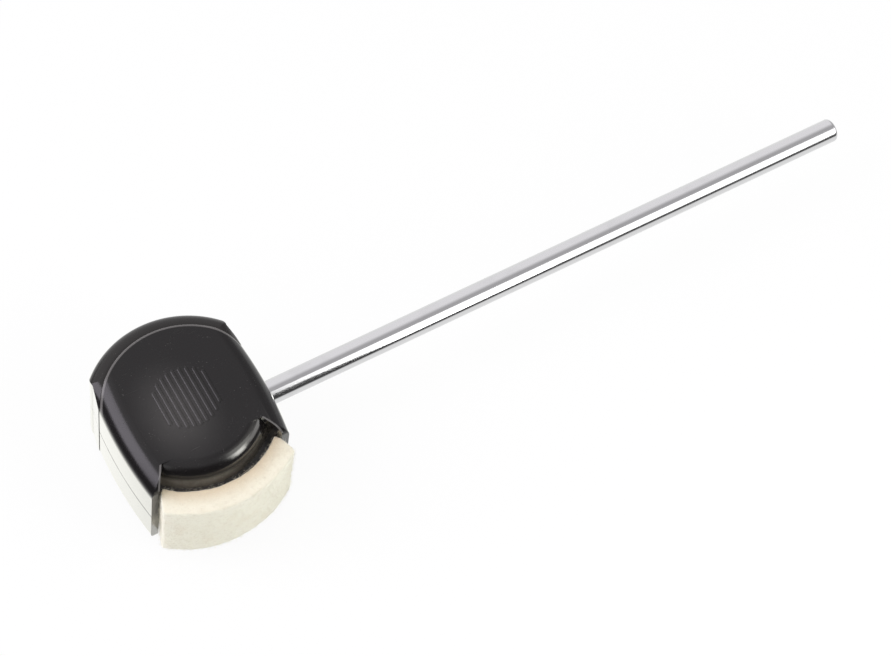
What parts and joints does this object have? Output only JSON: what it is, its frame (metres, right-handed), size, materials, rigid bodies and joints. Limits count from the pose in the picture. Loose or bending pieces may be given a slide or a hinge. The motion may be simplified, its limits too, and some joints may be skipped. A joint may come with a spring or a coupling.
{
  "type": "bass drum beater",
  "caption": "Bass drum pedal beater: chromed rod with a black split-shell head that strikes with a felt face or, turned round, with a hard plastic face.",
  "frame": {"origin": "on the shaft's axis at the head face that the shaft leaves", "axes": "+X out along the shaft, -Y towards the felt face, +Y towards the hard plastic face, +Z out of the upper cheek"},
  "size_m": [0.2673, 0.0659, 0.04],
  "materials": {
    "chrome_rod": "polished",
    "black_shell": "semi-gloss moulded",
    "black_striker": "semi-gloss moulded",
    "cream_felt": "pressed felt",
    "backing_plastic": "matte",
    "hub_metal": "machined",
    "screw_steel": "plated",
    "insert_brass": "knurled"
  },
  "bodies": {
    "shaft": {"shaft": "chrome_rod", "thrust_washer": "screw_steel", "retaining_clip": "screw_steel"},
    "head": {"upper_shell": "black_shell", "lower_shell": "black_shell", "plastic_striker": "black_striker", "felt_pad": "cream_felt", "felt_backing": "backing_plastic", "hub_block": "hub_metal", "set_screw": "screw_steel", "shell_screws": "screw_steel", "threaded_inserts": "insert_brass"}
  },
  "joints": [
    {"name": "head_swivel", "type": "hinge", "parent": "shaft", "child": "head", "pos_m": [-0.0249, 0, 0], "axis": [1, 0, 0], "continuous": true}
  ]
}
